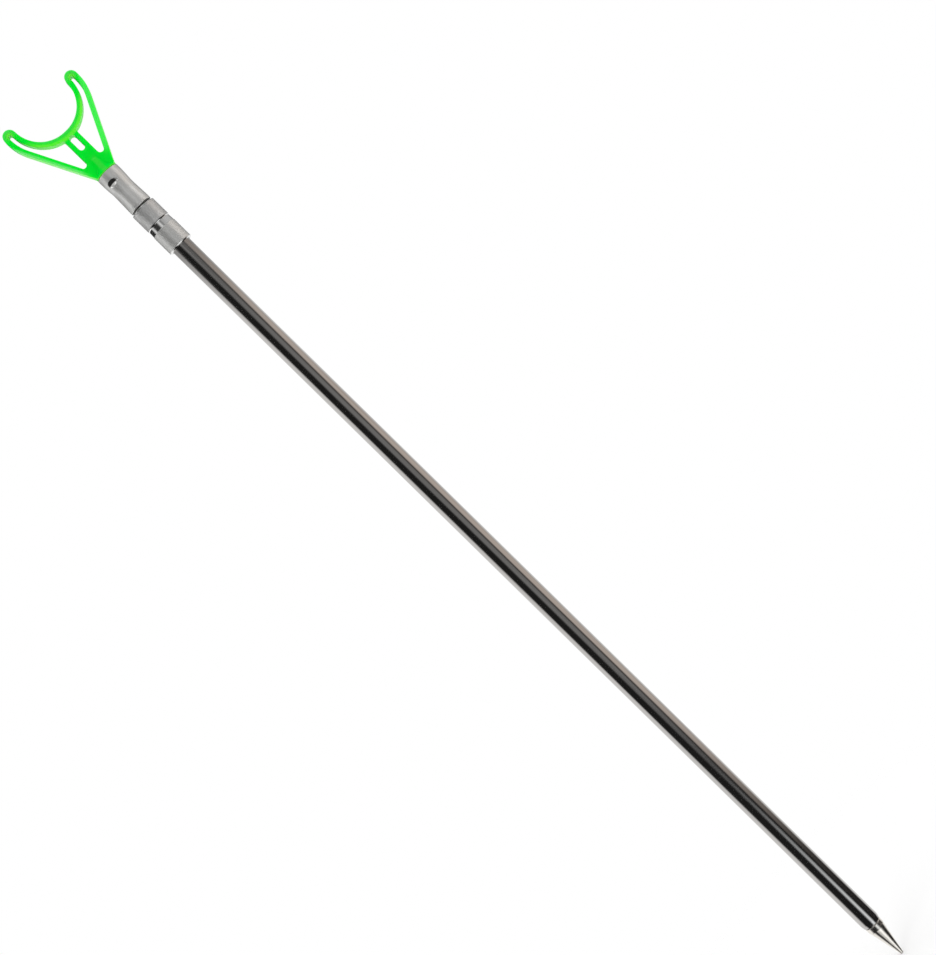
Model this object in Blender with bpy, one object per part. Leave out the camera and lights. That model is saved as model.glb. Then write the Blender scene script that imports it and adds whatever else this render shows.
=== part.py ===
"""Telescopic rod rest: a fork head on a thin tube that slides out of a spiked tube, held by a twist lock.

The rest stands upright, +Z up, with the spike's point at the origin and the fork in the XZ plane.
Lengths are in metres. Each piece is turned or extruded about the stick's axis in its own frame.
"""

import math

import bmesh
import bpy
from mathutils import Matrix, Vector

# From the spike's point to the foot of the head, slid together
HEAD_BASE = 0.7334

# Clearances
SEAT_GAP = 0.0003
RUN_GAP = 0.00025

# Tubes: the outer one is as wide as the inner one and the guide bush round it need
INNER_RADIUS = 0.0050
INNER_WALL = 0.0007
BUSH_WALL = 0.0008
OUTER_WALL = 0.0007
ROLL_LENGTH = 0.0041
ROLL_LIP = 0.0012
ROLL_INSET = 0.0004

# Ground spike
CONE_LENGTH = 0.0246
CONE_STEP = 0.0003
POINT_RADIUS = 0.0011
POINT_ROUND = 0.0006
SHOULDER_STEP = 0.0003
SHOULDER_LENGTH = 0.0042
SHANK_LENGTH = 0.0320

# Fork head, seen from the front
HEAD_HEIGHT = 0.0633
PLATE_THICKNESS = 0.0090
EDGE_ROUND = 0.0008
SADDLE_RADIUS = 0.0220
SADDLE_LAND = 0.0020
PRONG_WIDTH = 0.0092
PRONG_LENGTH = 0.0139
BEND_REACH = 0.0074
BASE_WIDTH = 0.0148
RIB_WIDTH = 0.0035
TIP_SOLID = 0.0038
BAND_TIP = 0.0034
BAND_FOOT = 0.0044
STEM_WIDTH = 0.0107
SLOT_WIDTH = 0.0045
SLOT_LENGTH = 0.0121
WEB_HEIGHT = 0.0111
WINDOW_FILLET = 0.0014
STEM_FILLET = 0.0024
BAND_FILLET = 0.0010

# Round hub of the head
BOSS_RADIUS = 0.0055
BOSS_TOP_RADIUS = 0.0051
BOSS_HEIGHT = 0.0130
BOSS_DOME = 0.0025
FLANGE_HEIGHT = 0.0012

# Aluminium sleeve under the head, shared by the head's spigot and the inner tube
SPIGOT_LENGTH = 0.0132
SLEEVE_GRIP = 0.0168
SLEEVE_TOP_RADIUS = 0.00825
SLEEVE_WAIST_RADIUS = 0.0078
SLEEVE_FOOT_RADIUS = 0.0082
SLEEVE_CUFF = 0.0055
SLEEVE_FLARE = 0.0075
SLEEVE_FOOT = 0.0026
SLEEVE_TAPER = 0.0110
CRIMP_FROM_TOP = 0.0085
CRIMP_WIDTH = 0.0092
CRIMP_HEIGHT = 0.0050
CRIMP_DEPTH = 0.0007

# Twist lock
STACK_GAP = 0.0015
NUT_LENGTH = 0.0136
NUT_WALL = 0.0014
NUT_STEP = 0.00005
MOUTH_THICKNESS = 0.0014
COLLAR_LENGTH = 0.0154
COLLAR_WALL = 0.00175
COLLAR_FOOT_ROUND = 0.0012
NECK_LENGTH = 0.0052
NECK_STEP = 0.00055
TUBE_GRIP = 0.0155
SEAT_RIM = 0.0006
TAPER = 1.35
BELT_HEIGHT = 0.0008
COLLET_NOSE = 0.0005
COLLET_SPLIT = 0.0012

# Lower end of the inner tube
FLANGE_THICKNESS = 0.0014
BUSH_LENGTH = 0.0180
LIP_THICKNESS = 0.0015
PLUG_LENGTH = 0.0200

# Smoothness
FULL_TURN = 2 * math.pi
ROUND_SEGMENTS = 40
ARC_ANGLE = math.radians(6)
ARC_LENGTH = 0.0009
SMOOTH_ANGLE = math.radians(35)
WELD = 1e-7
CURVE_WELD = 1e-6
JOIN_WELD = 2e-5
EDGE_STEPS = 1
FLARE_ROWS = 10
CRIMP_ROWS = 6
SOFT_EDGE = 0.0003
SMALL_EDGE = 0.0004

# Heights along the stick, worked out from the sizes above
SLEEVE_LENGTH = SLEEVE_GRIP + SEAT_GAP + SPIGOT_LENGTH
SLEEVE_BASE = HEAD_BASE - SEAT_GAP - SLEEVE_LENGTH
NUT_BASE = SLEEVE_BASE - STACK_GAP - NUT_LENGTH
NECK_TOP = NUT_BASE - SEAT_GAP
BODY_BASE = NECK_TOP - NECK_LENGTH - COLLAR_LENGTH
TUBE_TOP = BODY_BASE + TUBE_GRIP
TUBE_BASE = CONE_LENGTH + SHOULDER_LENGTH + SEAT_GAP
SHANK_TOP = TUBE_BASE + SHANK_LENGTH
PLUG_BASE = SHANK_TOP + SEAT_GAP
BUSH_BASE = PLUG_BASE + FLANGE_THICKNESS + SEAT_GAP
INNER_BASE = BUSH_BASE + LIP_THICKNESS + SEAT_GAP
INNER_TOP = SLEEVE_BASE + SLEEVE_GRIP
SPIGOT_BASE = INNER_TOP + SEAT_GAP

# Radii that follow from the inner tube and the walls round it
INNER_BORE = INNER_RADIUS - INNER_WALL
PLUG_RADIUS = INNER_BORE - SEAT_GAP
PASS_RADIUS = INNER_RADIUS + SEAT_GAP
SPIGOT_RADIUS = PASS_RADIUS - SEAT_GAP
BUSH_BORE = INNER_RADIUS + RUN_GAP
BUSH_RADIUS = BUSH_BORE + BUSH_WALL
OUTER_BORE = BUSH_RADIUS + RUN_GAP
OUTER_RADIUS = OUTER_BORE + OUTER_WALL
LIP_RADIUS = OUTER_RADIUS - ROLL_INSET
SHOULDER_RADIUS = LIP_RADIUS - SHOULDER_STEP
CONE_RADIUS = SHOULDER_RADIUS - CONE_STEP
SOCKET_RADIUS = OUTER_RADIUS + SEAT_GAP
COLLAR_RADIUS = SOCKET_RADIUS + COLLAR_WALL
NECK_RADIUS = COLLAR_RADIUS - NECK_STEP
NUT_RADIUS = COLLAR_RADIUS - NUT_STEP

# Twist lock's inside
NUT_BORE = NUT_RADIUS - NUT_WALL
STUB_RADIUS = NUT_BORE - SEAT_GAP
TAPER_GAP = SEAT_GAP * math.hypot(1, TAPER)
NUT_CONE_TOP = NUT_LENGTH - MOUTH_THICKNESS
NUT_CONE_BASE = NUT_CONE_TOP - TAPER * (NUT_BORE - PASS_RADIUS)
BELT_RADIUS = NUT_BORE - SEAT_GAP
BELT_TOP = NUT_CONE_BASE + TAPER * (NUT_BORE - BELT_RADIUS) - TAPER_GAP
SEAT_RADIUS = STUB_RADIUS - SEAT_RIM
STUB_TOP = BELT_TOP - BELT_HEIGHT - TAPER_GAP - TAPER * (BELT_RADIUS - SEAT_RADIUS)

# Prongs of the head
HALF_OPENING = SADDLE_RADIUS + SADDLE_LAND / 2
PRONG_X = HALF_OPENING + PRONG_WIDTH
SADDLE_BOTTOM = HEAD_HEIGHT - PRONG_WIDTH / 2 - SADDLE_RADIUS
BEND_HEIGHT = HEAD_HEIGHT - PRONG_LENGTH


def arc_steps(radius, turn):
    """How many straight steps an arc needs: two at least, more the longer it is."""
    return max(2, min(math.ceil(turn / ARC_ANGLE), math.ceil(turn * radius / ARC_LENGTH)))


def rounded(corners, closed=True):
    """The points of an outline of corners (a, b, radius), each rounded to an arc of its radius."""
    points = []
    for i, (a, b, radius) in enumerate(corners):
        here = Vector((a, b))
        if radius == 0:
            points.append(here)
            continue
        back = (Vector(corners[i - 1][:2]) - here).normalized()
        on = (Vector(corners[(i + 1) % len(corners)][:2]) - here).normalized()
        opening = back.angle(on)
        start = here + back * (radius / math.tan(opening / 2))
        centre = here + (back + on).normalized() * (radius / math.sin(opening / 2))
        turn = (math.pi - opening) * math.copysign(1, on.cross(back))
        steps = arc_steps(radius, abs(turn))
        for k in range(steps + 1):
            points.append(centre + Matrix.Rotation(turn * k / steps, 2) @ (start - centre))
    last = points[-1:] if closed else [None]
    before = last + points[:-1]
    return [p for p, q in zip(points, before) if q is None or (p - q).length > CURVE_WELD]


def finish(name, colour, roughness, metallic):
    """A plain Principled material, made once."""
    material = bpy.data.materials.get(name)
    if material is None:
        material = bpy.data.materials.new(name)
        material.use_nodes = True
        shader = material.node_tree.nodes["Principled BSDF"]
        shader.inputs["Base Color"].default_value = (*colour, 1)
        shader.inputs["Roughness"].default_value = roughness
        shader.inputs["Metallic"].default_value = metallic
        material.diffuse_color = (*colour, 1)
    return material


def bright_steel():
    return finish("bright_steel", (0.48, 0.44, 0.40), 0.22, 1.0)


def satin_aluminium():
    return finish("satin_aluminium", (0.68, 0.68, 0.66), 0.42, 1.0)


def green_plastic():
    return finish("green_plastic", (0.01, 0.72, 0.03), 0.30, 0.0)


def white_nylon():
    return finish("white_nylon", (0.78, 0.76, 0.70), 0.50, 0.0)


def new_object(name, bm, material):
    """An object from bm, shaded smooth but for its sharp edges."""
    mesh = bpy.data.meshes.new(name)
    bm.to_mesh(mesh)
    bm.free()
    mesh.shade_smooth()
    mesh.set_sharp_from_angle(angle=SMOOTH_ANGLE)
    mesh.materials.append(material)
    piece = bpy.data.objects.new(name, mesh)
    bpy.context.scene.collection.objects.link(piece)
    return piece


def rows(foot, head, count):
    """Corners along a straight wall, close enough for what is pressed into it."""
    return [(*Vector(foot).lerp(Vector(head), k / count), 0) for k in range(count + 1)]


def press_crimps(bm, middle):
    """Presses two oval crimps inward, at the front and the back of a turned wall."""
    for vert in bm.verts:
        radius = vert.co.xy.length
        across = math.atan2(abs(vert.co.x), abs(vert.co.y)) * SLEEVE_WAIST_RADIUS
        share = math.hypot(2 * across / CRIMP_WIDTH, 2 * (vert.co.z - middle) / CRIMP_HEIGHT)
        if radius > 0 and share < 1:
            vert.co.xy *= 1 - CRIMP_DEPTH * (1 + math.cos(math.pi * share)) / 2 / radius


def turned(name, corners, material, closed=True, sweep=FULL_TURN, crimp=None):
    """A piece turned about Z from corners (radius, height, rounding), crimped at one height if asked."""
    bm = bmesh.new()
    points = rounded(corners, closed)
    verts = [bm.verts.new((p.x, 0, p.y)) for p in points]
    pairs = list(zip(verts, verts[1:]))
    if closed:
        pairs.append((verts[-1], verts[0]))
    edges = [bm.edges.new(pair) for pair in pairs]
    if sweep < FULL_TURN:
        bm.faces.new(verts)
    steps = round(ROUND_SEGMENTS * sweep / FULL_TURN)
    spun = bmesh.ops.spin(
        bm, geom=verts + edges, axis=(0, 0, 1), cent=(0, 0, 0), angle=sweep, steps=steps
    )
    if sweep < FULL_TURN:
        bmesh.ops.contextual_create(bm, geom=spun["geom_last"])
    bmesh.ops.remove_doubles(bm, verts=bm.verts, dist=WELD)
    if crimp is not None:
        press_crimps(bm, crimp)
    bmesh.ops.recalc_face_normals(bm, faces=bm.faces)
    return new_object(name, bm, material)


def stage(name):
    """An empty on the stick's axis that carries the pieces which move together."""
    empty = bpy.data.objects.new(name, None)
    bpy.context.scene.collection.objects.link(empty)
    return empty


def place(piece, carrier, height):
    """Puts a piece on its carrier, at a height above the spike's point."""
    piece.parent = carrier
    piece.location = (0, 0, height)
    return piece


def make_outer_tube():
    length = TUBE_TOP - TUBE_BASE
    bore_lip = OUTER_BORE - ROLL_INSET
    return turned("outer_tube", [
        (bore_lip, 0, 0),
        (LIP_RADIUS, 0, SOFT_EDGE),
        (OUTER_RADIUS, ROLL_LENGTH, ROLL_LENGTH),
        (OUTER_RADIUS, length, 0),
        (OUTER_BORE, length, 0),
        (OUTER_BORE, ROLL_LENGTH, 0),
        (bore_lip, ROLL_LIP, 0),
    ], bright_steel())


def make_ground_spike():
    seat = CONE_LENGTH + SHOULDER_LENGTH
    base = TUBE_BASE
    neck = OUTER_BORE - ROLL_INSET - SEAT_GAP
    shank = OUTER_BORE - SEAT_GAP
    return turned("ground_spike", [
        (0, 0, 0),
        (POINT_RADIUS, 0, POINT_ROUND),
        (CONE_RADIUS, CONE_LENGTH, SOFT_EDGE),
        (SHOULDER_RADIUS, CONE_LENGTH + SOFT_EDGE, 0),
        (SHOULDER_RADIUS, seat, SOFT_EDGE),
        (neck, seat, 0),
        (neck, base + ROLL_LIP, 0),
        (shank, base + ROLL_LENGTH, 0),
        (shank, SHANK_TOP, SMALL_EDGE),
        (0, SHANK_TOP, 0),
    ], bright_steel(), closed=False)


def make_lock_body():
    neck_base = COLLAR_LENGTH
    neck_top = neck_base + NECK_LENGTH
    stub_top = neck_top + SEAT_GAP + STUB_TOP
    socket_top = TUBE_GRIP + SEAT_GAP
    seat_base = stub_top - TAPER * (SEAT_RADIUS - PASS_RADIUS)
    return turned("lock_body", [
        (SOCKET_RADIUS, 0, 0),
        (COLLAR_RADIUS, 0, min(COLLAR_FOOT_ROUND, COLLAR_WALL)),
        (COLLAR_RADIUS, neck_base, SMALL_EDGE),
        (NECK_RADIUS, neck_base, 0),
        (NECK_RADIUS, neck_top, SOFT_EDGE),
        (STUB_RADIUS, neck_top, 0),
        (STUB_RADIUS, stub_top, 0),
        (SEAT_RADIUS, stub_top, 0),
        (PASS_RADIUS, seat_base, 0),
        (PASS_RADIUS, socket_top, 0),
        (SOCKET_RADIUS, socket_top, 0),
    ], satin_aluminium())


def make_lock_nut():
    return turned("lock_nut", [
        (NUT_BORE, 0, 0),
        (NUT_RADIUS, 0, SMALL_EDGE),
        (NUT_RADIUS, NUT_LENGTH, SMALL_EDGE),
        (PASS_RADIUS, NUT_LENGTH, 0),
        (PASS_RADIUS, NUT_CONE_TOP, 0),
        (NUT_BORE, NUT_CONE_BASE, 0),
    ], satin_aluminium())


def make_clamp_collet():
    """A split ring with a taper at each end: one sits in the body, the nut presses on the other."""
    bore = BUSH_BORE
    nose = bore + COLLET_NOSE
    belt_base = BELT_TOP - BELT_HEIGHT
    nose_rise = TAPER * (BELT_RADIUS - nose)
    split = FULL_TURN - COLLET_SPLIT / bore
    return turned("clamp_collet", [
        (bore, belt_base - nose_rise, 0),
        (nose, belt_base - nose_rise, 0),
        (BELT_RADIUS, belt_base, 0),
        (BELT_RADIUS, BELT_TOP, 0),
        (nose, BELT_TOP + nose_rise, 0),
        (bore, BELT_TOP + nose_rise, 0),
    ], white_nylon(), sweep=split)


def make_inner_tube():
    length = INNER_TOP - INNER_BASE
    return turned("inner_tube", [
        (INNER_BORE, 0, 0),
        (INNER_RADIUS, 0, 0),
        (INNER_RADIUS, length, 0),
        (INNER_BORE, length, 0),
    ], bright_steel())


def make_guide_bush():
    lip = PLUG_RADIUS + SEAT_GAP
    return turned("guide_bush", [
        (lip, 0, 0),
        (BUSH_RADIUS, 0, SOFT_EDGE),
        (BUSH_RADIUS, BUSH_LENGTH, SOFT_EDGE),
        (BUSH_BORE, BUSH_LENGTH, 0),
        (BUSH_BORE, LIP_THICKNESS, 0),
        (lip, LIP_THICKNESS, 0),
    ], white_nylon())


def make_tube_plug():
    flange = BUSH_RADIUS - SEAT_GAP
    top = FLANGE_THICKNESS + PLUG_LENGTH
    return turned("tube_plug", [
        (0, 0, 0),
        (flange, 0, SMALL_EDGE),
        (flange, FLANGE_THICKNESS, 0),
        (PLUG_RADIUS, FLANGE_THICKNESS, 0),
        (PLUG_RADIUS, top, SMALL_EDGE),
        (0, top, 0),
    ], white_nylon(), closed=False)


def make_top_sleeve():
    crimp = SLEEVE_LENGTH - CRIMP_FROM_TOP
    half = CRIMP_HEIGHT / 2
    cuff = SLEEVE_LENGTH - SLEEVE_CUFF
    return turned("top_sleeve", [
        (PASS_RADIUS, 0, 0),
        (SLEEVE_FOOT_RADIUS, 0, SMALL_EDGE),
        (SLEEVE_FOOT_RADIUS, SLEEVE_FOOT, 0),
        (SLEEVE_WAIST_RADIUS, SLEEVE_FOOT + SLEEVE_TAPER, 0),
        *rows((SLEEVE_WAIST_RADIUS, cuff - SLEEVE_FLARE), (SLEEVE_TOP_RADIUS, cuff), FLARE_ROWS),
        (SLEEVE_TOP_RADIUS, SLEEVE_LENGTH, SMALL_EDGE),
        (PASS_RADIUS, SLEEVE_LENGTH, 0),
        *rows((PASS_RADIUS, crimp + half), (PASS_RADIUS, crimp - half), CRIMP_ROWS),
    ], satin_aluminium(), crimp=crimp)


def strut_angle():
    """How far the outer struts lean from the stick's axis."""
    return math.atan2(PRONG_X - BASE_WIDTH / 2, BEND_HEIGHT)


def bend_radius():
    """The radius of the bend from strut to prong, which reaches the same way along both."""
    return BEND_REACH / math.tan(strut_angle() / 2)


def fork_outline():
    """The fork's outer outline, from the base round both prongs and the saddle between them."""
    tip = PRONG_WIDTH / 2
    foot = FLANGE_HEIGHT / 2
    right = [
        (BASE_WIDTH / 2 + foot * math.tan(strut_angle()), foot, 0),
        (PRONG_X, BEND_HEIGHT, bend_radius()),
        (PRONG_X, HEAD_HEIGHT, tip),
        (HALF_OPENING, HEAD_HEIGHT, tip),
        (HALF_OPENING, SADDLE_BOTTOM, SADDLE_RADIUS),
    ]
    return rounded(right + [(-x, z, r) for x, z, r in reversed(right)])


def window_outline():
    """The window between the saddle's band, the stem and the right strut, which narrows to a slot."""
    lean = strut_angle()
    outer = PRONG_X - RIB_WIDTH
    bend = BEND_HEIGHT + RIB_WIDTH * math.tan(lean / 2)
    top = HEAD_HEIGHT - TIP_SOLID
    band = HALF_OPENING + BAND_TIP
    centre = SADDLE_BOTTOM - BAND_FOOT + band
    slot_round = (outer - band) / 2 - CURVE_WELD
    low = outer - (bend - WEB_HEIGHT) * math.tan(lean)
    stem = STEM_WIDTH / 2
    fillets = WINDOW_FILLET * math.tan(math.pi / 4 - lean / 2) + STEM_FILLET
    fit = min(1, (low - stem) / fillets)
    start = math.asin(stem / band)
    last = math.acos((centre - top + slot_round) / band)
    steps = arc_steps(band, last - start)
    angles = [start + (last - start) * k / steps for k in range(steps + 1)]
    arc = [(band * math.sin(a), centre - band * math.cos(a)) for a in angles]
    return rounded([
        (arc[-1][0], top, (outer - arc[-1][0]) / 2),
        (outer, top, (outer - arc[-1][0]) / 2),
        (outer, bend, bend_radius() - RIB_WIDTH),
        (low, WEB_HEIGHT, WINDOW_FILLET * fit),
        (stem, WEB_HEIGHT, STEM_FILLET * fit),
        (*arc[0], BAND_FILLET),
    ] + [(*point, 0) for point in arc[1:-1]])


def slot_outline():
    """The rounded slot in the stem, right under the saddle's band."""
    half = SLOT_WIDTH / 2
    top = SADDLE_BOTTOM - BAND_FOOT
    corners = [(half, top), (half, top - SLOT_LENGTH), (-half, top - SLOT_LENGTH), (-half, top)]
    return rounded([(x, z, half) for x, z in corners])


def fork_plate():
    """The flat, pierced part of the head, its edges rounded: a filled curve turned into a mesh."""
    window = window_outline()
    mirrored = [Vector((-p.x, p.y)) for p in reversed(window)]
    curve = bpy.data.curves.new("fork_outline", "CURVE")
    curve.dimensions = "2D"
    curve.fill_mode = "BOTH"
    curve.extrude = PLATE_THICKNESS / 2 - EDGE_ROUND
    curve.bevel_depth = EDGE_ROUND
    curve.bevel_resolution = EDGE_STEPS
    curve.offset = -EDGE_ROUND
    for outline in (fork_outline(), window, mirrored, slot_outline()):
        spline = curve.splines.new("POLY")
        spline.points.add(len(outline) - 1)
        spline.use_cyclic_u = True
        for point, corner in zip(spline.points, outline):
            point.co = (*corner, 0, 1)
    drawn = bpy.data.objects.new("fork_outline", curve)
    bpy.context.scene.collection.objects.link(drawn)
    bpy.context.view_layer.update()
    bm = bmesh.new()
    bm.from_mesh(drawn.evaluated_get(bpy.context.evaluated_depsgraph_get()).to_mesh())
    bpy.data.objects.remove(drawn)
    bmesh.ops.remove_doubles(bm, verts=bm.verts, dist=CURVE_WELD)
    bmesh.ops.rotate(bm, verts=bm.verts, matrix=Matrix.Rotation(math.pi / 2, 3, "X"))
    bmesh.ops.recalc_face_normals(bm, faces=bm.faces)
    return bm


def make_rest_head():
    """The moulded fork: its plate joined with a round hub, whose spigot goes into the sleeve."""
    head = new_object("head_plate", fork_plate(), green_plastic())
    crimp = -SEAT_GAP - CRIMP_FROM_TOP
    half = CRIMP_HEIGHT / 2
    hub = turned("head_hub", [
        (0, SPIGOT_BASE - HEAD_BASE, 0),
        (SPIGOT_RADIUS, SPIGOT_BASE - HEAD_BASE, SMALL_EDGE),
        *rows((SPIGOT_RADIUS, crimp - half), (SPIGOT_RADIUS, crimp + half), CRIMP_ROWS),
        (SPIGOT_RADIUS, 0, 0),
        (SLEEVE_TOP_RADIUS, 0, SMALL_EDGE),
        (SLEEVE_TOP_RADIUS, FLANGE_HEIGHT, SMALL_EDGE),
        (BOSS_RADIUS, FLANGE_HEIGHT + SLEEVE_TOP_RADIUS - BOSS_RADIUS, BOSS_RADIUS),
        (BOSS_TOP_RADIUS, BOSS_HEIGHT, BOSS_DOME),
        (0, BOSS_HEIGHT, 0),
    ], green_plastic(), closed=False, crimp=crimp)
    join = head.modifiers.new("hub", "BOOLEAN")
    join.operation = "UNION"
    join.solver = "EXACT"
    join.object = hub
    bpy.context.view_layer.update()
    bm = bmesh.new()
    bm.from_object(head, bpy.context.evaluated_depsgraph_get())
    bpy.data.objects.remove(hub)
    bpy.data.objects.remove(head)
    bmesh.ops.remove_doubles(bm, verts=bm.verts, dist=JOIN_WELD)
    bmesh.ops.dissolve_degenerate(bm, edges=bm.edges, dist=JOIN_WELD)
    return new_object("rest_head", bm, green_plastic())


def main():
    for old in list(bpy.data.objects):
        bpy.data.objects.remove(old)
    outer_stage = stage("outer_stage")
    collet_stage = stage("collet_stage")
    nut_stage = stage("nut_stage")
    guide_stage = stage("guide_stage")
    inner_stage = stage("inner_stage")
    collet_stage.parent = outer_stage
    nut_stage.parent = collet_stage
    guide_stage.parent = outer_stage
    inner_stage.parent = guide_stage
    place(make_ground_spike(), outer_stage, 0)
    place(make_outer_tube(), outer_stage, TUBE_BASE)
    place(make_lock_body(), outer_stage, BODY_BASE)
    place(make_clamp_collet(), collet_stage, NUT_BASE)
    place(make_lock_nut(), nut_stage, NUT_BASE)
    place(make_guide_bush(), guide_stage, BUSH_BASE)
    place(make_tube_plug(), inner_stage, PLUG_BASE)
    place(make_inner_tube(), inner_stage, INNER_BASE)
    place(make_top_sleeve(), inner_stage, SLEEVE_BASE)
    place(make_rest_head(), inner_stage, HEAD_BASE)


main()
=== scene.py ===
"""Looks of the telescopic rod rest: studio, camera, finer turned and moulded pieces, and every finish.

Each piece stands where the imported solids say: their boxes give the heights and the outer radii.
Lengths are in metres, in the frame of the solids, with +Z up the stick.
"""

import math

import bmesh
import bpy
from mathutils import Matrix, Vector


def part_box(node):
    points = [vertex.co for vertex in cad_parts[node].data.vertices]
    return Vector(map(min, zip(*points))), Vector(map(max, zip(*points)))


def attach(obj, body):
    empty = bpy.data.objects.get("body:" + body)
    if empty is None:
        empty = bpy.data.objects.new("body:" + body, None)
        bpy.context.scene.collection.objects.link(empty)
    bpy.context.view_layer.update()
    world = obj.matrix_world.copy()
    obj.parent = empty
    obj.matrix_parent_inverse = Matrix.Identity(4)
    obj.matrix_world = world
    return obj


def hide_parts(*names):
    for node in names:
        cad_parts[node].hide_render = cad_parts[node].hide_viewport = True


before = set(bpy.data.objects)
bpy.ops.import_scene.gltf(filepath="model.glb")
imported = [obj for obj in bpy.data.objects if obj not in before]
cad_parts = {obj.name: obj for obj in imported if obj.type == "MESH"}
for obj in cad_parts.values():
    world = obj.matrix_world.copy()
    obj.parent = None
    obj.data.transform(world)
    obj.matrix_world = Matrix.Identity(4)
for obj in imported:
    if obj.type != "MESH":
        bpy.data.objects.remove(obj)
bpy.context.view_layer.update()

# Camera: the photograph's long side in pixels, and the view that it was taken from
IMAGE_SIDE = 955
FOCAL_PIXELS = 1700
SENSOR = 36.0
VIEW_TURN = math.radians(-5.0)
VIEW_TILT = math.radians(-2.75)
VIEW_ROLL = math.radians(45.49)
VIEW_DISTANCE = 1.1127
AIM_HEIGHT = 0.4289
AIM_SIDEWAYS = 0.0230

# Walls and steps of the turned pieces that their boxes don't give
SEAT_GAP = 0.0003
TUBE_WALL = 0.0007
FINE_EDGE = 0.00035
ROLL_LENGTH = 0.0030
ROLL_LIP = 0.0012
LIP_ROUND = 0.0006
ROLL_INSET = 0.0004
CONE_LENGTH = 0.0246
CONE_RADIUS = 0.0060
POINT_RADIUS = 0.0011
POINT_ROUND = 0.0006
SHOULDER_LENGTH = 0.0042
SHOULDER_RADIUS = 0.0063
SLEEVE_BORE = 0.0053
SLEEVE_WAIST_RADIUS = 0.0078
SLEEVE_FOOT_STEP = 0.00005
SLEEVE_CUFF = 0.0055
SLEEVE_FLARE = 0.0075
SLEEVE_FOOT = 0.0026
SLEEVE_TAPER = 0.0110
CRIMP_FROM_TOP = 0.0083
CRIMP_WIDTH = 0.0092
CRIMP_HEIGHT = 0.0050
CRIMP_DEPTH = 0.0007
CRIMP_TURN = math.radians(21)
NUT_WALL = 0.0014
NUT_MOUTH = 0.0014
NUT_TAPER = 1.35
RIB_COUNT = 84
RIB_DEPTH = 0.00006
COLLAR_LENGTH = 0.0154
COLLAR_RADIUS = 0.00905
COLLAR_FOOT_ROUND = 0.0012
NECK_LENGTH = 0.0052
NECK_TOP_RADIUS = 0.00855
NECK_FOOT_RADIUS = 0.0088
NECK_FLARE = 0.0004
NECK_ROUND = 0.0006
STUB_RADIUS = 0.0073
SEAT_RADIUS = 0.0067
SOCKET_DEPTH = 0.0158

# The head's struts, in its own plane from the middle of its foot
HEAD_ABOVE_HUB = 0.0633
STRUT_LEAN = 0.50
STRUT_FOOT = 0.0034
SADDLE_HEIGHT = 0.0587
SADDLE_RADIUS = 0.0220
TIP_SIDE = 0.0276

# Gloss of the crimp, and how much of a metal the blasted grips still are
CRIMP_POLISH = 0.08
SATIN_METAL = 0.88

# The studio round bright metal: its colours, and how softly its boxes end, in degrees and in height
DARK_ROOM = (0.02, 0.02, 0.02)
CEILING = (0.35, 0.35, 0.35)
CEILING_EDGE = (0.28, 0.40)
PLAIN_LIGHT = (0.95, 0.95, 0.95)
WHITE = (1.0, 1.0, 1.0)
COOL = (0.93, 0.97, 1.0)
WARM = (1.0, 0.88, 0.80)
BOX_SOFTNESS = 12
BOX_FADE = 0.06

# The lamps' side, and the pale floor that fades out between two distances from the point
LAMP_SIZE = 0.9
FLOOR_RADIUS = 0.5
FLOOR_SEGMENTS = 96
FLOOR_FADE = (0.06, 0.4)
FLOOR_COLOUR = (0.99, 0.99, 0.99, 1)

# Fineness of the meshes
TURN_SEGMENTS = 120
ARC_STEP = math.radians(9)
WALL_HOLD = 0.0001
SHARP = math.radians(32)
HEAD_VOXEL = 0.00028
HEAD_SMOOTHING = 6
FLARE_ROWS = 40
CRIMP_ROWS = 28


def add_node(tree, kind, **inputs):
    """A node with its unlinked inputs set by name."""
    node = tree.nodes.new(kind)
    for name, value in inputs.items():
        node.inputs[name.replace("_", " ")].default_value = value
    return node


def maths(tree, operation, *values):
    """A Math node over sockets or plain numbers; returns its result."""
    node = tree.nodes.new("ShaderNodeMath")
    node.operation = operation
    for socket, value in zip(node.inputs, values):
        if isinstance(value, bpy.types.NodeSocket):
            tree.links.new(value, socket)
        else:
            socket.default_value = value
    return node.outputs[0]


def smooth_step(tree, value, low, high):
    """0 at low, 1 at high, and smooth between; low may be the greater one."""
    node = add_node(tree, "ShaderNodeMapRange", From_Min=low, From_Max=high)
    node.interpolation_type = "SMOOTHSTEP"
    tree.links.new(value, node.inputs["Value"])
    return node.outputs["Result"]


def mix_colours(tree, factor, first, second):
    """A colour mix of sockets or plain colours."""
    node = tree.nodes.new("ShaderNodeMix")
    node.data_type = "RGBA"
    tree.links.new(factor, node.inputs[0])
    for index, colour in ((6, first), (7, second)):
        if isinstance(colour, bpy.types.NodeSocket):
            tree.links.new(colour, node.inputs[index])
        else:
            node.inputs[index].default_value = (*colour, 1)
    return node.outputs[2]


def stretched_noise(tree, scale, along=1.0, detail=3.0):
    """Noise in object space, scale per metre, drawn out along Z by a share below one."""
    place = tree.nodes.new("ShaderNodeTexCoord")
    mapping = add_node(tree, "ShaderNodeMapping", Scale=(scale, scale, scale * along))
    noise = add_node(tree, "ShaderNodeTexNoise", Scale=1.0, Detail=detail)
    tree.links.new(place.outputs["Object"], mapping.inputs["Vector"])
    tree.links.new(mapping.outputs["Vector"], noise.inputs["Vector"])
    return noise.outputs["Fac"]


def place_axes(tree):
    """The object-space place as separate x, y and z sockets."""
    place = tree.nodes.new("ShaderNodeTexCoord")
    split = tree.nodes.new("ShaderNodeSeparateXYZ")
    tree.links.new(place.outputs["Object"], split.inputs[0])
    return split.outputs


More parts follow.
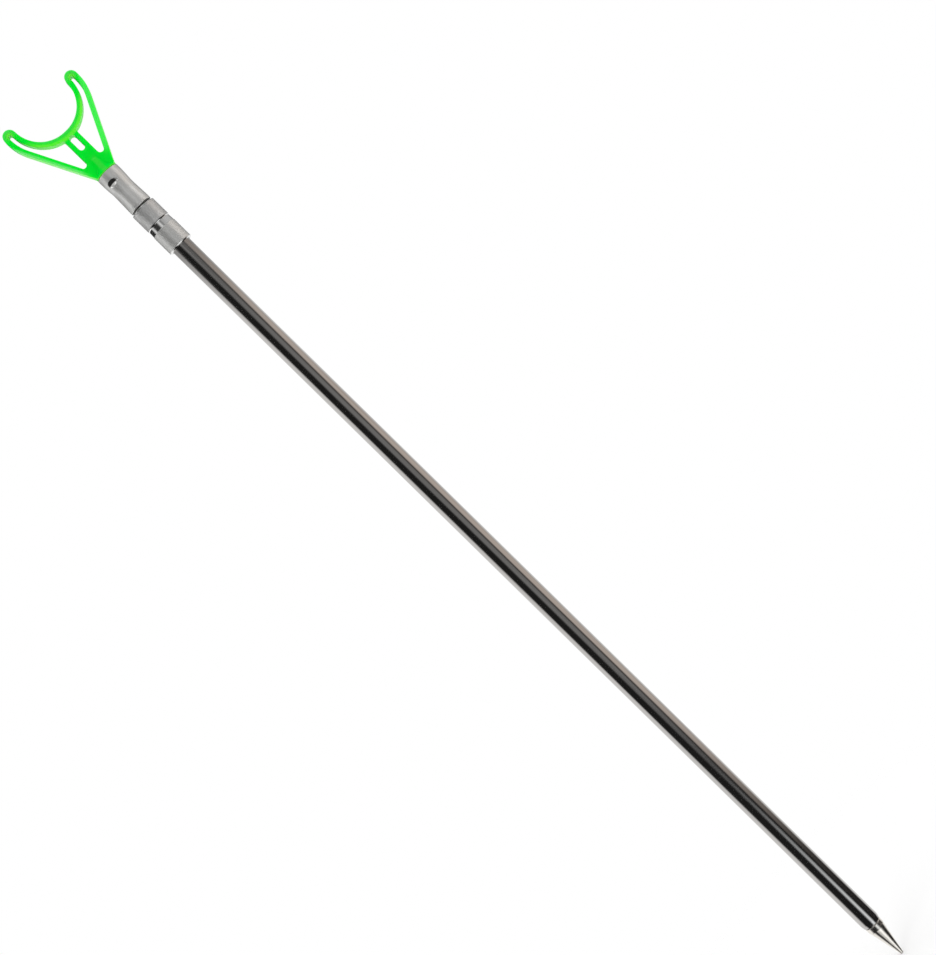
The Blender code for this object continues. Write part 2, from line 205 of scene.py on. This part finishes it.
def bump(tree, shader, height, depth):
    """Raises the surface by a height of 0 to 1 times a depth in metres."""
    node = add_node(tree, "ShaderNodeBump", Strength=1.0, Distance=depth)
    tree.links.new(height, node.inputs["Height"])
    tree.links.new(node.outputs["Normal"], shader.inputs["Normal"])


def vary(tree, noise, low, high):
    """A number that goes from low to high with a noise."""
    node = add_node(tree, "ShaderNodeMapRange", From_Min=0.3, From_Max=0.7, To_Min=low, To_Max=high)
    tree.links.new(noise, node.inputs["Value"])
    return node.outputs["Result"]


def new_material(name, metallic):
    material = bpy.data.materials.new(name)
    material.use_nodes = True
    shader = material.node_tree.nodes["Principled BSDF"]
    shader.inputs["Metallic"].default_value = metallic
    return material, material.node_tree, shader


def tube_steel():
    """Polished drawn tube: warm grey, with faint draw lines along it."""
    material, tree, shader = new_material("tube_steel", 1.0)
    lines = stretched_noise(tree, 2600, along=0.004, detail=4)
    cloud = stretched_noise(tree, 60, along=0.3)
    tone = mix_colours(tree, cloud, (0.50, 0.485, 0.47), (0.54, 0.525, 0.51))
    shade = mix_colours(tree, smooth_step(tree, lines, 0.45, 0.75), tone, (0.43, 0.415, 0.40))
    tree.links.new(shade, shader.inputs["Base Color"])
    tree.links.new(vary(tree, lines, 0.09, 0.15), shader.inputs["Roughness"])
    bump(tree, shader, lines, 0.000004)
    return material


def spike_steel():
    """Brighter turned steel, with fine rings left by the tool."""
    material, tree, shader = new_material("spike_steel", 1.0)
    rings = stretched_noise(tree, 30, along=90)
    cloud = stretched_noise(tree, 300)
    tone = mix_colours(tree, cloud, (0.80, 0.76, 0.70), (0.86, 0.83, 0.78))
    tree.links.new(tone, shader.inputs["Base Color"])
    tree.links.new(vary(tree, rings, 0.16, 0.26), shader.inputs["Roughness"])
    bump(tree, shader, rings, 0.000005)
    return material


def satin_aluminium(name, dark, light, crimp=None):
    """Satin grips: a fine blasted grain over faint lines along the stick; a crimp is left polished."""
    material, tree, shader = new_material(name, SATIN_METAL)
    grain = stretched_noise(tree, 2200, detail=2)
    lines = stretched_noise(tree, 1700, along=0.12)
    tone = mix_colours(tree, grain, dark, light)
    rough = vary(tree, lines, 0.36, 0.44)
    depth = maths(tree, "ADD", maths(tree, "MULTIPLY", lines, 0.4), maths(tree, "MULTIPLY", grain, 0.6))
    if crimp is not None:
        x, y, z = place_axes(tree)
        side = maths(tree, "SUBTRACT", maths(tree, "MULTIPLY", x, math.cos(CRIMP_TURN)),
                     maths(tree, "MULTIPLY", y, math.sin(CRIMP_TURN)))
        around = maths(tree, "DIVIDE", side, CRIMP_WIDTH / 2)
        along = maths(tree, "DIVIDE", maths(tree, "SUBTRACT", z, crimp), CRIMP_HEIGHT / 2)
        away = maths(tree, "ADD", maths(tree, "POWER", around, 2), maths(tree, "POWER", along, 2))
        satin = smooth_step(tree, away, 0.7, 1.0)
        rougher = maths(tree, "SUBTRACT", rough, CRIMP_POLISH)
        rough = maths(tree, "ADD", CRIMP_POLISH, maths(tree, "MULTIPLY", satin, rougher))
        depth = maths(tree, "MULTIPLY", depth, satin)
        metal = add_node(tree, "ShaderNodeMapRange", To_Min=1.0, To_Max=SATIN_METAL)
        tree.links.new(satin, metal.inputs["Value"])
        tree.links.new(metal.outputs["Result"], shader.inputs["Metallic"])
    tree.links.new(tone, shader.inputs["Base Color"])
    tree.links.new(rough, shader.inputs["Roughness"])
    shader.inputs["Specular Tint"].default_value = (0, 0, 0, 1)
    bump(tree, shader, depth, 0.00003)
    return material


def polished_aluminium():
    """Neck and edges that were turned bright after the grips were blasted."""
    material, tree, shader = new_material("polished_aluminium", 1.0)
    rings = stretched_noise(tree, 40, along=80)
    tone = mix_colours(tree, rings, (0.84, 0.84, 0.83), (0.90, 0.90, 0.89))
    tree.links.new(tone, shader.inputs["Base Color"])
    tree.links.new(vary(tree, rings, 0.08, 0.14), shader.inputs["Roughness"])
    bump(tree, shader, rings, 0.000003)
    return material


def green_moulding():
    """Bright green plastic that lets light through; over a random tone, tints laid by place are painted
    light: painted shade and sheen on the saddle band, painted sheen on the struts' outer sides, painted
    shade and a painted highlight on the prongs, a painted highlight up the boss and painted light on the
    undersides.
    """
    material, tree, shader = new_material("green_moulding", 0.0)
    x, _, z = place_axes(tree)
    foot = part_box("rest_head")[1].z - HEAD_ABOVE_HUB
    height = maths(tree, "SUBTRACT", z, foot)
    side = maths(tree, "ABSOLUTE", x)
    cloud = stretched_noise(tree, 120)
    colour = mix_colours(tree, cloud, (0.0, 0.68, 0.020), (0.0, 0.74, 0.034))

    def distance(first, second):
        squares = maths(tree, "ADD", maths(tree, "POWER", first, 2), maths(tree, "POWER", second, 2))
        return maths(tree, "POWER", squares, 0.5)

    # Mixes one tint of painted light or shade into the colour, over the share of the head it covers
    def paint_light_tint(shade, *shares):
        share = shares[0]
        for other in shares[1:]:
            share = maths(tree, "MULTIPLY", share, other)
        return mix_colours(tree, share, colour, shade)

    # The saddle's band, from its inner edge outward: painted shade at the inner edge, then a painted sheen
    # further out
    low_part = smooth_step(tree, height, SADDLE_HEIGHT - 0.009, SADDLE_HEIGHT - 0.018)
    reach = distance(x, maths(tree, "SUBTRACT", height, SADDLE_HEIGHT))
    outward = maths(tree, "SUBTRACT", reach, SADDLE_RADIUS)
    inner_edge = smooth_step(tree, outward, 0.0030, 0.0008)
    colour = paint_light_tint((0.045, 0.62, 0.075), low_part, inner_edge)
    past_inner = smooth_step(tree, outward, 0.0016, 0.0040)
    before_outer = smooth_step(tree, outward, 0.0060, 0.0045)
    colour = paint_light_tint((0.13, 0.80, 0.045), low_part, past_inner, before_outer)

    # Painted sheen on the struts' outer sides, with an unlike tint on the left and the right as the light
    # fell on them
    strut = maths(tree, "SUBTRACT", side, maths(tree, "MULTIPLY", height, STRUT_LEAN))
    outside = maths(tree, "SUBTRACT", strut, STRUT_FOOT)
    above_hub = smooth_step(tree, height, 0.006, 0.016)
    right = smooth_step(tree, x, 0.0, 0.002)
    left = smooth_step(tree, x, 0.0, -0.002)
    colour = paint_light_tint((0.065, 0.77, 0.095), above_hub, right, smooth_step(tree, outside, -0.0014, 0.0010))
    above_foot = smooth_step(tree, height, 0.004, 0.012)
    colour = paint_light_tint((0.135, 0.70, 0.165), left, above_foot, smooth_step(tree, outside, 0.0016, 0.0034))

    # The tips of the prongs: painted shade above the saddle and a painted highlight at each tip
    above_saddle = maths(tree, "SUBTRACT", height, SADDLE_HEIGHT)
    tip = distance(maths(tree, "SUBTRACT", side, TIP_SIDE), above_saddle)
    colour = paint_light_tint((0.05, 0.64, 0.07), smooth_step(tree, above_saddle, -0.004, 0.003))
    colour = paint_light_tint((0.17, 0.72, 0.05), smooth_step(tree, tip, 0.0034, 0.0002))

    # A painted highlight up the boss, and painted light on the undersides
    boss_highlight = smooth_step(tree, maths(tree, "ABSOLUTE", maths(tree, "SUBTRACT", x, 0.0002)), 0.0024, 0.0006)
    colour = paint_light_tint((0.034, 0.66, 0.045), boss_highlight, smooth_step(tree, height, 0.015, 0.010))

    # Painted light: faces that look down are paler, as if lit from below
    normal = tree.nodes.new("ShaderNodeNewGeometry").outputs["Normal"]
    facing = tree.nodes.new("ShaderNodeSeparateXYZ")
    tree.links.new(normal, facing.inputs[0])
    colour = paint_light_tint((0.14, 0.84, 0.055), smooth_step(tree, facing.outputs["Z"], -0.2, -0.6))

    tree.links.new(colour, shader.inputs["Base Color"])
    tree.links.new(vary(tree, cloud, 0.24, 0.32), shader.inputs["Roughness"])
    shader.inputs["Specular IOR Level"].default_value = 0.12
    shader.inputs["Subsurface Weight"].default_value = 1.0
    shader.inputs["Subsurface Radius"].default_value = (0.6, 1.0, 0.6)
    shader.inputs["Subsurface Scale"].default_value = 0.004
    bump(tree, shader, stretched_noise(tree, 700, detail=2), 0.000012)
    return material


def moulded_nylon():
    """Off-white nylon of the inner rings and the plug."""
    material, tree, shader = new_material("moulded_nylon", 0.0)
    cloud = stretched_noise(tree, 250)
    tone = mix_colours(tree, cloud, (0.74, 0.72, 0.66), (0.82, 0.80, 0.74))
    tree.links.new(tone, shader.inputs["Base Color"])
    tree.links.new(vary(tree, cloud, 0.45, 0.58), shader.inputs["Roughness"])
    bump(tree, shader, stretched_noise(tree, 1500), 0.00001)
    return material


def rounded(corners):
    """The points of a profile of corners (radius, height, rounding).

    A point close to each rounding keeps the straight wall beside it from shading as if it were curved.
    """
    points = []
    for i, (a, b, radius) in enumerate(corners):
        here = Vector((a, b))
        if radius == 0:
            points.append(here)
            continue
        before = Vector(corners[i - 1][:2]) - here
        after = Vector(corners[(i + 1) % len(corners)][:2]) - here
        back = before.normalized()
        on = after.normalized()
        opening = back.angle(on)
        cut = radius / math.tan(opening / 2)
        start = here + back * cut
        centre = here + (back + on).normalized() * (radius / math.sin(opening / 2))
        turn = (math.pi - opening) * math.copysign(1, on.cross(back))
        steps = max(3, math.ceil(abs(turn) / ARC_STEP))
        if before.length > 2 * cut + 2 * WALL_HOLD:
            points.append(start + back * WALL_HOLD)
        for k in range(steps + 1):
            points.append(centre + Matrix.Rotation(turn * k / steps, 2) @ (start - centre))
        if after.length > 2 * cut + 2 * WALL_HOLD:
            points.append(here + on * (cut + WALL_HOLD))
    return points


def rows(foot, head, count):
    """Corners along a straight wall, close enough for what is pressed into it."""
    return [(*Vector(foot).lerp(Vector(head), k / count), 0) for k in range(count + 1)]


def press_crimps(bm, middle):
    """Presses the sleeve's two oval crimps inward, at the front and the back."""
    for vert in bm.verts:
        radius = vert.co.xy.length
        side = Matrix.Rotation(CRIMP_TURN, 2) @ vert.co.xy
        across = math.atan2(abs(side.x), abs(side.y)) * SLEEVE_WAIST_RADIUS
        share = math.hypot(2 * across / CRIMP_WIDTH, 2 * (vert.co.z - middle) / CRIMP_HEIGHT)
        if radius > 0 and share < 1:
            vert.co.xy *= 1 - CRIMP_DEPTH * (1 + math.cos(math.pi * share)) / 2 / radius


def turned(name, corners, materials, polish=(), closed=True, ribs=None, crimp=None):
    """A piece turned about Z. Faces whose height lies in a polish span take the second material."""
    points = rounded(corners)
    segments = TURN_SEGMENTS if ribs is None else RIB_COUNT * 4
    bm = bmesh.new()
    rings = []
    for p in points:
        if p.x < 1e-9:
            rings.append([bm.verts.new((0, 0, p.y))])
            continue
        ring = []
        for k in range(segments):
            angle = 2 * math.pi * k / segments
            radius = p.x
            if ribs is not None and ribs[0] < p.y < ribs[1] and p.x > ribs[2]:
                radius -= RIB_DEPTH * (1 - math.cos(angle * RIB_COUNT)) / 2
            ring.append(bm.verts.new((radius * math.cos(angle), radius * math.sin(angle), p.y)))
        rings.append(ring)
    pairs = list(zip(rings, rings[1:]))
    if closed:
        pairs.append((rings[-1], rings[0]))
    for low, high in pairs:
        for k in range(segments):
            after = (k + 1) % segments
            if len(low) == 1:
                corners_of = (low[0], high[after], high[k])
            elif len(high) == 1:
                corners_of = (low[k], low[after], high[0])
            else:
                corners_of = (low[k], low[after], high[after], high[k])
            face = bm.faces.new(corners_of)
            middle = face.calc_center_median().z
            face.material_index = int(any(a < middle < b for a, b in polish))
    if crimp is not None:
        press_crimps(bm, crimp)
    bmesh.ops.recalc_face_normals(bm, faces=bm.faces)
    return new_piece(name, bm, materials)


def new_piece(name, bm, materials):
    mesh = bpy.data.meshes.new(name)
    bm.to_mesh(mesh)
    bm.free()
    mesh.shade_smooth()
    mesh.set_sharp_from_angle(angle=SHARP)
    for material in materials:
        mesh.materials.append(material)
    piece = bpy.data.objects.new(name, mesh)
    bpy.context.scene.collection.objects.link(piece)
    return piece


def stand_for(piece, node, body):
    """The piece replaces a solid and rides on its body."""
    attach(piece, body)
    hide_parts(node)


def make_head(plastic):
    """The moulded head: the solid's form, with its edges and corners softened as a mould leaves them."""
    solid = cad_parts["rest_head"]
    piece = bpy.data.objects.new("head_moulding", solid.data.copy())
    bpy.context.scene.collection.objects.link(piece)
    remesh = piece.modifiers.new("even mesh", "REMESH")
    remesh.mode = "VOXEL"
    remesh.voxel_size = HEAD_VOXEL
    soften = piece.modifiers.new("softened edges", "SMOOTH")
    soften.factor = 0.5
    soften.iterations = HEAD_SMOOTHING
    bpy.context.view_layer.update()
    bm = bmesh.new()
    bm.from_object(piece, bpy.context.evaluated_depsgraph_get())
    bpy.data.objects.remove(piece)
    head = new_piece("head_moulding", bm, [plastic])
    stand_for(head, "rest_head", "inner_stage")


def make_outer_tube(steel):
    low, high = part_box("outer_tube")
    radius = high.x
    bore = radius - TUBE_WALL
    tube = turned("tube_outer", [
        (bore - ROLL_INSET, low.z, 0),
        (radius - ROLL_INSET, low.z, LIP_ROUND),
        (radius, low.z + ROLL_LENGTH, ROLL_LENGTH),
        (radius, high.z, FINE_EDGE / 2),
        (bore, high.z, 0),
        (bore, low.z + ROLL_LENGTH, 0),
        (bore - ROLL_INSET, low.z + ROLL_LIP, 0),
    ], [steel])
    stand_for(tube, "outer_tube", "outer_stage")


def make_inner_tube(steel):
    low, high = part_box("inner_tube")
    radius = high.x
    bore = radius - TUBE_WALL
    tube = turned("tube_inner", [
        (bore, low.z, 0),
        (radius, low.z, FINE_EDGE / 2),
        (radius, high.z, FINE_EDGE / 2),
        (bore, high.z, 0),
    ], [steel])
    stand_for(tube, "inner_tube", "inner_stage")


def make_spike(steel):
    low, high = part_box("ground_spike")
    seat = CONE_LENGTH + SHOULDER_LENGTH
    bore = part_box("outer_tube")[1].x - TUBE_WALL
    shank = bore - SEAT_GAP
    neck = shank - ROLL_INSET
    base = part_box("outer_tube")[0].z
    spike = turned("spike_turned", [
        (0, low.z, 0),
        (POINT_RADIUS, low.z, POINT_ROUND),
        (CONE_RADIUS, CONE_LENGTH, FINE_EDGE),
        (SHOULDER_RADIUS, CONE_LENGTH + FINE_EDGE, 0),
        (SHOULDER_RADIUS, seat, FINE_EDGE),
        (neck, seat, 0),
        (neck, base + ROLL_LIP, 0),
        (shank, base + ROLL_LENGTH, 0),
        (shank, high.z, FINE_EDGE),
        (0, high.z, 0),
    ], [steel], closed=False)
    stand_for(spike, "ground_spike", "outer_stage")


def make_sleeve(satin):
    low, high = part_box("top_sleeve")
    crimp = high.z - CRIMP_FROM_TOP
    cuff = high.z - SLEEVE_CUFF
    half = CRIMP_HEIGHT / 2
    foot = high.x - SLEEVE_FOOT_STEP
    sleeve = turned("sleeve_turned", [
        (SLEEVE_BORE, low.z, 0),
        (foot, low.z, FINE_EDGE),
        (foot, low.z + SLEEVE_FOOT, SLEEVE_FOOT / 3),
        (SLEEVE_WAIST_RADIUS, low.z + SLEEVE_FOOT + SLEEVE_TAPER, SLEEVE_TAPER / 2),
        *rows((SLEEVE_WAIST_RADIUS, cuff - SLEEVE_FLARE), (high.x, cuff), FLARE_ROWS),
        (high.x, high.z, FINE_EDGE),
        (SLEEVE_BORE, high.z, 0),
        *rows((SLEEVE_BORE, crimp + half), (SLEEVE_BORE, crimp - half), CRIMP_ROWS),
    ], [satin], crimp=crimp)
    stand_for(sleeve, "top_sleeve", "inner_stage")


def make_nut(ribbed, polished):
    low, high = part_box("lock_nut")
    radius = high.x
    bore = radius - NUT_WALL
    cone_top = high.z - NUT_MOUTH
    nut = turned("nut_ribbed", [
        (bore, low.z, 0),
        (radius, low.z, FINE_EDGE / 3),
        (radius, low.z + 2 * FINE_EDGE, 0),
        (radius, low.z + 3 * FINE_EDGE, 0),
        (radius, high.z - 3 * FINE_EDGE, 0),
        (radius, high.z - 2 * FINE_EDGE, 0),
        (radius, high.z, FINE_EDGE),
        (SLEEVE_BORE, high.z, 0),
        (SLEEVE_BORE, cone_top, 0),
        (bore, cone_top - NUT_TAPER * (bore - SLEEVE_BORE), 0),
    ], [ribbed, polished],
        polish=[(high.z - 2 * FINE_EDGE, high.z)],
        ribs=(low.z + 2.5 * FINE_EDGE, high.z - 2.5 * FINE_EDGE, bore + FINE_EDGE))
    stand_for(nut, "lock_nut", "nut_stage")


def make_lock_body(blasted, polished):
    low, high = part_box("lock_body")
    neck = low.z + COLLAR_LENGTH
    neck_top = neck + NECK_LENGTH
    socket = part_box("outer_tube")[1].x + SEAT_GAP
    seat = high.z - NUT_TAPER * (SEAT_RADIUS - SLEEVE_BORE)
    collar = turned("collar_turned", [
        (socket, low.z, 0),
        (COLLAR_RADIUS, low.z, COLLAR_FOOT_ROUND),
        (COLLAR_RADIUS, neck, FINE_EDGE / 3),
        (NECK_FOOT_RADIUS, neck + NECK_FLARE / 2, 0),
        (NECK_TOP_RADIUS, neck_top - NECK_FLARE, NECK_ROUND),
        (COLLAR_RADIUS - SEAT_GAP / 3, neck_top, 0),
        (STUB_RADIUS, neck_top, 0),
        (STUB_RADIUS, high.z, 0),
        (SEAT_RADIUS, high.z, 0),
        (SLEEVE_BORE, seat, 0),
        (SLEEVE_BORE, low.z + SOCKET_DEPTH, 0),
        (socket, low.z + SOCKET_DEPTH, 0),
    ], [blasted, polished],
        polish=[(low.z - FINE_EDGE, low.z + COLLAR_FOOT_ROUND / 2), (neck, high.z)])
    stand_for(collar, "lock_body", "outer_stage")


def make_camera():
    """The photograph's camera: it stands before the stick, a little to the left, rolled half upright."""
    turn, tilt, roll = VIEW_TURN, VIEW_TILT, VIEW_ROLL
    forward = Vector((-math.sin(turn) * math.cos(tilt), math.cos(turn) * math.cos(tilt), math.sin(tilt)))
    level = Vector((math.cos(turn), math.sin(turn), 0))
    upright = level.cross(forward)
    right = math.cos(roll) * level - math.sin(roll) * upright
    up = math.sin(roll) * level + math.cos(roll) * upright
    data = bpy.data.cameras.new("camera")
    data.sensor_width = SENSOR
    data.lens = FOCAL_PIXELS * SENSOR / IMAGE_SIDE
    data.clip_start = 0.01
    camera = bpy.data.objects.new("camera", data)
    aim = Vector((0, 0, AIM_HEIGHT)) + level * AIM_SIDEWAYS
    place = aim - forward * VIEW_DISTANCE
    turned_to = Matrix((right, up, -forward)).transposed().to_4x4()
    camera.matrix_world = Matrix.Translation(place) @ turned_to
    bpy.context.scene.collection.objects.link(camera)
    bpy.context.scene.camera = camera
    return place


def soft_box(tree, look, shown, name, sides, heights, level, tint):
    """Lays one soft box over what gloss sees, between two directions and between two heights."""
    degrees, z = look
    left, right = sides
    low, high = heights
    share = smooth_step(tree, degrees, left - BOX_SOFTNESS, left + BOX_SOFTNESS)
    for edge in (
        smooth_step(tree, degrees, right + BOX_SOFTNESS, right - BOX_SOFTNESS),
        smooth_step(tree, z, low - BOX_FADE, low + BOX_FADE),
        smooth_step(tree, z, high + BOX_FADE, high - BOX_FADE),
    ):
        share = maths(tree, "MULTIPLY", share, edge)
    box = mix_colours(tree, share, shown, tuple(level * part for part in tint))
    box.node.label = name
    return box


def studio(tree, look):
    """The white walls at the sides and behind, and the soft boxes of the dark room before the stick.

    A box has its sides in degrees from the camera, positive to its right, its lowest and highest
    direction as the upward share of a line of sight, its brightness and its tint. The two walls meet
    behind the stick.
    """
    degrees, z = look
    shown = mix_colours(tree, smooth_step(tree, z, *CEILING_EDGE), DARK_ROOM, CEILING)
    boxes = (
        ("left wall", (-192, -80), (-0.70, 0.16), 1.0, WHITE),
        ("right wall", (116, 192), (-0.70, 0.16), 0.9, WHITE),
        ("side box", (56, 116), (-0.28, 0.16), 0.75, WARM),
        ("front fill", (-6, 40), (-0.24, 0.16), 0.26, WHITE),
        ("low front box", (2, 30), (-0.75, -0.34), 1.4, COOL),
        ("light table", (-38, 50), (-0.95, -0.70), 1.3, WHITE),
        ("left strip", (-88, -64), (0.20, 0.30), 0.8, WHITE),
        ("right strip", (26, 150), (0.20, 0.30), 0.55, WHITE),
        ("upper front card", (-8, 16), (0.20, 0.30), 1.0, WHITE),
        ("high left box", (-86, -62), (0.36, 0.52), 2.6, WHITE),
        ("high right box", (60, 92), (0.36, 0.52), 2.4, WHITE),
        ("overhead box", (-38, 10), (0.54, 0.92), 1.0, WHITE),
    )
    for box in boxes:
        shown = soft_box(tree, look, shown, *box)
    return shown


def make_world(camera_place):
    """White to the camera and through glass, the studio to gloss, and plain light to the rest."""
    world = bpy.data.worlds.new("studio")
    bpy.context.scene.world = world
    world.use_nodes = True
    tree = world.node_tree
    tree.nodes.clear()
    place = tree.nodes.new("ShaderNodeTexCoord")
    split = tree.nodes.new("ShaderNodeSeparateXYZ")
    tree.links.new(place.outputs["Generated"], split.inputs[0])
    x, y, z = split.outputs
    ahead = math.atan2(camera_place.y, camera_place.x)
    angle = maths(tree, "ARCTAN2", y, x)
    turn = maths(tree, "FRACT", maths(tree, "ADD", maths(tree, "DIVIDE", angle, 2 * math.pi),
                                      1.5 - ahead / (2 * math.pi)))
    degrees = maths(tree, "MULTIPLY", maths(tree, "SUBTRACT", turn, 0.5), 360)
    shown = studio(tree, (degrees, z))
    kind = tree.nodes.new("ShaderNodeLightPath")
    seen = maths(tree, "MAXIMUM", kind.outputs["Is Camera Ray"], kind.outputs["Is Transmission Ray"])
    colour = mix_colours(tree, kind.outputs["Is Glossy Ray"], PLAIN_LIGHT, shown)
    colour = mix_colours(tree, seen, colour, WHITE)
    background = tree.nodes.new("ShaderNodeBackground")
    output = tree.nodes.new("ShaderNodeOutputWorld")
    tree.links.new(colour, background.inputs["Color"])
    tree.links.new(background.outputs[0], output.inputs["Surface"])
    world.cycles.sampling_method = "NONE"


def make_lamp(name, place, energy):
    data = bpy.data.lights.new(name, "AREA")
    data.size = LAMP_SIZE
    data.energy = energy
    lamp = bpy.data.objects.new(name, data)
    lamp.location = place
    aim = Vector((0, 0, AIM_HEIGHT)) - lamp.location
    lamp.rotation_euler = aim.to_track_quat("-Z", "Y").to_euler()
    lamp.visible_glossy = False
    bpy.context.scene.collection.objects.link(lamp)


def make_floor():
    """A pale floor under the point, which fades into the white behind it and keeps the shadow."""
    bm = bmesh.new()
    bmesh.ops.create_circle(bm, cap_ends=True, segments=FLOOR_SEGMENTS, radius=FLOOR_RADIUS)
    material = bpy.data.materials.new("floor")
    material.use_nodes = True
    tree = material.node_tree
    tree.nodes.clear()
    x, y, _ = place_axes(tree)
    reach = maths(tree, "POWER", maths(tree, "ADD", maths(tree, "MULTIPLY", x, x),
                                       maths(tree, "MULTIPLY", y, y)), 0.5)
    fade = smooth_step(tree, reach, *FLOOR_FADE)
    diffuse = add_node(tree, "ShaderNodeBsdfDiffuse", Color=FLOOR_COLOUR)
    clear = tree.nodes.new("ShaderNodeBsdfTransparent")
    mix = tree.nodes.new("ShaderNodeMixShader")
    output = tree.nodes.new("ShaderNodeOutputMaterial")
    tree.links.new(fade, mix.inputs[0])
    tree.links.new(diffuse.outputs[0], mix.inputs[1])
    tree.links.new(clear.outputs[0], mix.inputs[2])
    tree.links.new(mix.outputs[0], output.inputs["Surface"])
    floor = new_piece("floor", bm, [material])
    floor.visible_glossy = False


def main():
    view = bpy.context.scene.view_settings
    view.view_transform = "Standard"
    camera_place = make_camera()
    make_world(camera_place)
    make_lamp("key", (-0.9, -1.3, 1.7), energy=4)
    make_lamp("fill", (1.2, -0.6, 0.9), energy=2)
    make_floor()
    steel = tube_steel()
    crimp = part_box("top_sleeve")[1].z - CRIMP_FROM_TOP
    crimped = satin_aluminium("crimped_aluminium", (0.84, 0.84, 0.82), (0.93, 0.93, 0.91), crimp)
    ribbed = satin_aluminium("ribbed_aluminium", (0.71, 0.71, 0.70), (0.80, 0.80, 0.79))
    blasted = satin_aluminium("blasted_aluminium", (0.80, 0.80, 0.78), (0.89, 0.89, 0.87))
    polished = polished_aluminium()
    nylon = moulded_nylon()
    make_outer_tube(steel)
    make_inner_tube(steel)
    make_spike(spike_steel())
    make_sleeve(crimped)
    make_nut(ribbed, polished)
    make_lock_body(blasted, polished)
    make_head(green_moulding())
    for name in ("guide_bush", "clamp_collet", "tube_plug"):
        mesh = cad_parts[name].data
        mesh.materials.clear()
        mesh.materials.append(nylon)


main()
